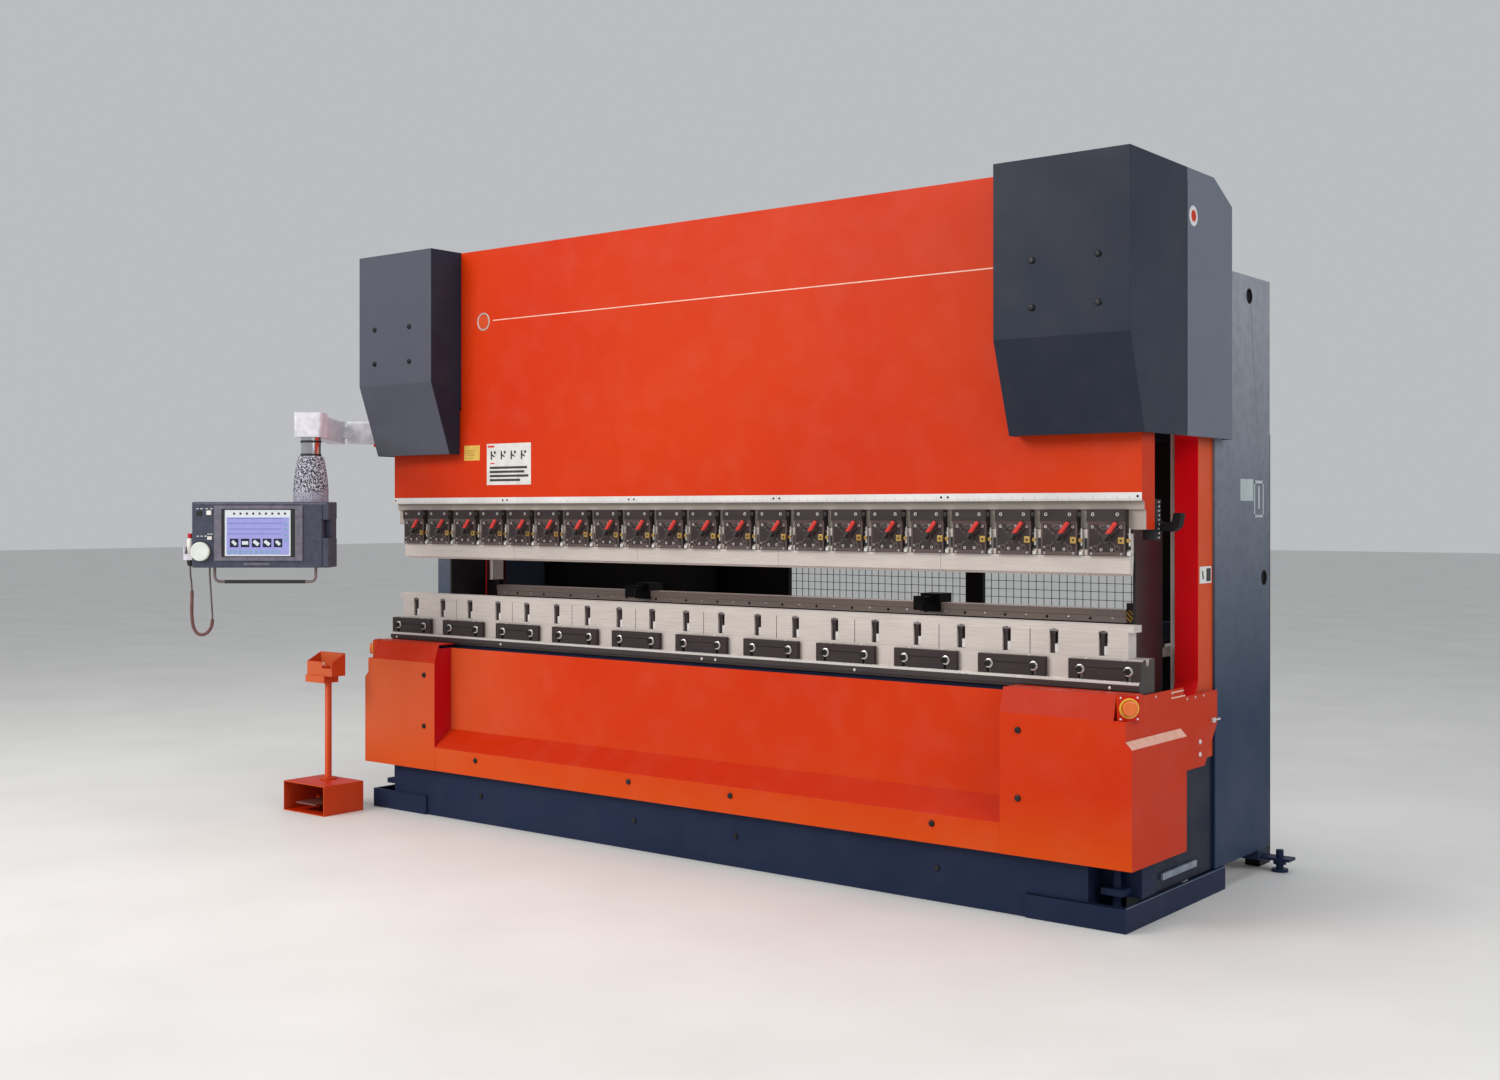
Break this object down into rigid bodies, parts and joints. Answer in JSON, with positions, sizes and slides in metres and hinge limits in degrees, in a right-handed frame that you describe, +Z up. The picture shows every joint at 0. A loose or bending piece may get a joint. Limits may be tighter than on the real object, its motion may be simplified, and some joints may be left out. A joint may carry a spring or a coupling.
{
  "type": "hydraulic press brake",
  "caption": "Hydraulic press brake with orange ram and bed, dark cylinder covers, quick-clamp punch holders, vee die, backgauge, swing-arm pendant and foot switch stand.",
  "frame": {"origin": "on the floor at mid length, straight under the bend line", "axes": "+X along the bend line to the machine's right as seen from the front, +Y to the back, +Z up"},
  "size_m": [4.774, 2.6105, 2.897],
  "materials": {
    "frame_red": "satin",
    "orange_paint": "satin",
    "ram_orange": "satin",
    "navy_paint": "satin",
    "charcoal_paint": "textured",
    "grey_paint": "satin",
    "black_paint": "satin",
    "rail_steel": "blackened",
    "clamp_steel": "blackened",
    "screw_steel": "zinc",
    "die_steel": "ground",
    "guide_steel": "ground",
    "holder_steel": "blackened",
    "scale_aluminium": "matte",
    "cast_iron": "rough",
    "brass": "polished",
    "chrome": "polished",
    "stop_plastic": "gloss",
    "lever_red": "gloss",
    "pendant_paint": "satin",
    "black_plastic": "matte",
    "white_plastic": "matte",
    "cord_rubber": "matte"
  },
  "bodies": {
    "machine": {"side_frames": "frame_red", "bed_beam": "navy_paint", "plinth": "navy_paint", "bed_end_boxes": "orange_paint", "bed_front_panel": "orange_paint", "table_rails": "rail_steel", "lower_clamps": "clamp_steel", "bolts_and_screws": "screw_steel", "die_risers": "die_steel", "die_rail": "die_steel", "cylinder_covers": "charcoal_paint", "cylinders": "cast_iron", "ram_guides": "guide_steel", "side_casings": "grey_paint", "rear_guard": "black_paint", "hydraulic_unit": "black_paint"},
    "ram_body": {"ram": "ram_orange", "ram_scale": "scale_aluminium", "punch_holders": "holder_steel", "brass_bolts": "brass", "punches": "die_steel", "piston_rods": "chrome"},
    "backgauge": {"gauge_carriages": "clamp_steel"},
    "backgauge_beam": {"gauge_beam": "scale_aluminium"},
    "finger_left": {"gauge_finger_left": "guide_steel"},
    "finger_right": {"gauge_finger_right": "guide_steel"},
    "stop_left": {"stop_button_left": "stop_plastic"},
    "stop_right": {"stop_button_right": "stop_plastic"},
    "arm_inner": {"pendant_arm_inner": "pendant_paint"},
    "arm_outer": {"pendant_arm_outer": "pendant_paint"},
    "pendant": {"pendant_case": "pendant_paint", "stylus": "white_plastic", "stylus_cord": "cord_rubber"},
    "knob": {"pendant_knob": "white_plastic"},
    "stand": {"foot_stand": "orange_paint"},
    "stand_button": {"foot_stand_button": "white_plastic"},
    "pedal": {"foot_pedal": "rail_steel"},
    "cabinet_door_body": {"cabinet_door": "grey_paint"},
    "guard_door_body": {"guard_door": "black_paint"},
    "lever_01": {"clamp_lever_01": "lever_red"},
    "lever_02": {"clamp_lever_02": "lever_red"},
    "lever_03": {"clamp_lever_03": "lever_red"},
    "lever_04": {"clamp_lever_04": "lever_red"},
    "lever_05": {"clamp_lever_05": "lever_red"},
    "lever_06": {"clamp_lever_06": "lever_red"},
    "lever_07": {"clamp_lever_07": "lever_red"},
    "lever_08": {"clamp_lever_08": "lever_red"},
    "lever_09": {"clamp_lever_09": "lever_red"},
    "lever_10": {"clamp_lever_10": "lever_red"},
    "lever_11": {"clamp_lever_11": "lever_red"},
    "lever_12": {"clamp_lever_12": "lever_red"},
    "lever_13": {"clamp_lever_13": "lever_red"},
    "lever_14": {"clamp_lever_14": "lever_red"},
    "lever_15": {"clamp_lever_15": "lever_red"},
    "lever_16": {"clamp_lever_16": "lever_red"},
    "lever_17": {"clamp_lever_17": "lever_red"},
    "lever_18": {"clamp_lever_18": "lever_red"},
    "lever_19": {"clamp_lever_19": "lever_red"},
    "lever_20": {"clamp_lever_20": "lever_red"},
    "lever_21": {"clamp_lever_21": "lever_red"}
  },
  "joints": [
    {"name": "ram_stroke", "type": "slide", "parent": "machine", "child": "ram_body", "axis": [0, 0, -1], "range_m": [0, 0.18]},
    {"name": "lever_01_turn", "type": "hinge", "parent": "ram_body", "child": "lever_01", "pos_m": [-2, -0.045, 1.455], "axis": [0, 1, 0], "range_deg": [0, 90]},
    {"name": "lever_02_turn", "type": "hinge", "parent": "ram_body", "child": "lever_02", "pos_m": [-1.8, -0.045, 1.455], "axis": [0, 1, 0], "range_deg": [0, 90]},
    {"name": "lever_03_turn", "type": "hinge", "parent": "ram_body", "child": "lever_03", "pos_m": [-1.6, -0.045, 1.455], "axis": [0, 1, 0], "range_deg": [0, 90]},
    {"name": "lever_04_turn", "type": "hinge", "parent": "ram_body", "child": "lever_04", "pos_m": [-1.4, -0.045, 1.455], "axis": [0, 1, 0], "range_deg": [0, 90]},
    {"name": "lever_05_turn", "type": "hinge", "parent": "ram_body", "child": "lever_05", "pos_m": [-1.2, -0.045, 1.455], "axis": [0, 1, 0], "range_deg": [0, 90]},
    {"name": "lever_06_turn", "type": "hinge", "parent": "ram_body", "child": "lever_06", "pos_m": [-1, -0.045, 1.455], "axis": [0, 1, 0], "range_deg": [0, 90]},
    {"name": "lever_07_turn", "type": "hinge", "parent": "ram_body", "child": "lever_07", "pos_m": [-0.8, -0.045, 1.455], "axis": [0, 1, 0], "range_deg": [0, 90]},
    {"name": "lever_08_turn", "type": "hinge", "parent": "ram_body", "child": "lever_08", "pos_m": [-0.6, -0.045, 1.455], "axis": [0, 1, 0], "range_deg": [0, 90]},
    {"name": "lever_09_turn", "type": "hinge", "parent": "ram_body", "child": "lever_09", "pos_m": [-0.4, -0.045, 1.455], "axis": [0, 1, 0], "range_deg": [0, 90]},
    {"name": "lever_10_turn", "type": "hinge", "parent": "ram_body", "child": "lever_10", "pos_m": [-0.2, -0.045, 1.455], "axis": [0, 1, 0], "range_deg": [0, 90]},
    {"name": "lever_11_turn", "type": "hinge", "parent": "ram_body", "child": "lever_11", "pos_m": [0, -0.045, 1.455], "axis": [0, 1, 0], "range_deg": [0, 90]},
    {"name": "lever_12_turn", "type": "hinge", "parent": "ram_body", "child": "lever_12", "pos_m": [0.2, -0.045, 1.455], "axis": [0, 1, 0], "range_deg": [0, 90]},
    {"name": "lever_13_turn", "type": "hinge", "parent": "ram_body", "child": "lever_13", "pos_m": [0.4, -0.045, 1.455], "axis": [0, 1, 0], "range_deg": [0, 90]},
    {"name": "lever_14_turn", "type": "hinge", "parent": "ram_body", "child": "lever_14", "pos_m": [0.6, -0.045, 1.455], "axis": [0, 1, 0], "range_deg": [0, 90]},
    {"name": "lever_15_turn", "type": "hinge", "parent": "ram_body", "child": "lever_15", "pos_m": [0.8, -0.045, 1.455], "axis": [0, 1, 0], "range_deg": [0, 90]},
    {"name": "lever_16_turn", "type": "hinge", "parent": "ram_body", "child": "lever_16", "pos_m": [1, -0.045, 1.455], "axis": [0, 1, 0], "range_deg": [0, 90]},
    {"name": "lever_17_turn", "type": "hinge", "parent": "ram_body", "child": "lever_17", "pos_m": [1.2, -0.045, 1.455], "axis": [0, 1, 0], "range_deg": [0, 90]},
    {"name": "lever_18_turn", "type": "hinge", "parent": "ram_body", "child": "lever_18", "pos_m": [1.4, -0.045, 1.455], "axis": [0, 1, 0], "range_deg": [0, 90]},
    {"name": "lever_19_turn", "type": "hinge", "parent": "ram_body", "child": "lever_19", "pos_m": [1.6, -0.045, 1.455], "axis": [0, 1, 0], "range_deg": [0, 90]},
    {"name": "lever_20_turn", "type": "hinge", "parent": "ram_body", "child": "lever_20", "pos_m": [1.8, -0.045, 1.455], "axis": [0, 1, 0], "range_deg": [0, 90]},
    {"name": "lever_21_turn", "type": "hinge", "parent": "ram_body", "child": "lever_21", "pos_m": [2, -0.045, 1.455], "axis": [0, 1, 0], "range_deg": [0, 90]},
    {"name": "backgauge_depth", "type": "slide", "parent": "machine", "child": "backgauge", "axis": [0, 1, 0], "range_m": [-0.245, 0.375]},
    {"name": "backgauge_height", "type": "slide", "parent": "backgauge", "child": "backgauge_beam", "axis": [0, 0, 1], "range_m": [-0.055, 0.025]},
    {"name": "finger_left_slide", "type": "slide", "parent": "backgauge_beam", "child": "finger_left", "axis": [1, 0, 0], "range_m": [-0.95, 0.75]},
    {"name": "finger_right_slide", "type": "slide", "parent": "backgauge_beam", "child": "finger_right", "axis": [1, 0, 0], "range_m": [-0.85, 0.8]},
    {"name": "stop_left_press", "type": "slide", "parent": "machine", "child": "stop_left", "axis": [0.7071, 0.7071, 0], "range_m": [0, 0.005], "stiffness_N_per_m": 400},
    {"name": "stop_right_press", "type": "slide", "parent": "machine", "child": "stop_right", "axis": [-0.7071, 0.7071, 0], "range_m": [0, 0.005], "stiffness_N_per_m": 400},
    {"name": "arm_root_swing", "type": "hinge", "parent": "machine", "child": "arm_inner", "pos_m": [-2.262, -0.026, 1.985], "axis": [0, 0, 1], "range_deg": [-40, 15]},
    {"name": "arm_elbow_swing", "type": "hinge", "parent": "arm_inner", "child": "arm_outer", "pos_m": [-2.467, -0.187, 1.985], "axis": [0, 0, 1], "range_deg": [-25, 20]},
    {"name": "pendant_swivel", "type": "hinge", "parent": "arm_outer", "child": "pendant", "pos_m": [-1.911, -0.767, 1.95], "axis": [0, 0, 1], "range_deg": [-60, 60]},
    {"name": "knob_turn", "type": "hinge", "parent": "pendant", "child": "knob", "pos_m": [-2.24916, -1.16036, 1.364], "axis": [-0.6184, 0.7859, 0], "continuous": true},
    {"name": "stand_shift", "type": "slide", "parent": "machine", "child": "stand", "axis": [0, 1, 0], "range_m": [-0.3, 0.05]},
    {"name": "stand_button_press", "type": "slide", "parent": "stand", "child": "stand_button", "axis": [0, 0, -1], "range_m": [0, 0.005], "stiffness_N_per_m": 400, "springref_m": -0.001},
    {"name": "pedal_press", "type": "hinge", "parent": "stand", "child": "pedal", "pos_m": [-2.27, -0.37, 0.045], "axis": [1, 0, 0], "range_deg": [0, 8], "stiffness_Nm_per_rad": 16, "springref_deg": -11.46},
    {"name": "cabinet_door_swing", "type": "hinge", "parent": "machine", "child": "cabinet_door_body", "pos_m": [-2.4393, 1.243, 1.05], "axis": [0, 0, 1], "range_deg": [-110, 0]},
    {"name": "guard_door_swing", "type": "hinge", "parent": "machine", "child": "guard_door_body", "pos_m": [2.038, 1.4033, 0.95], "axis": [0, 0, 1], "range_deg": [-100, 0]}
  ]
}
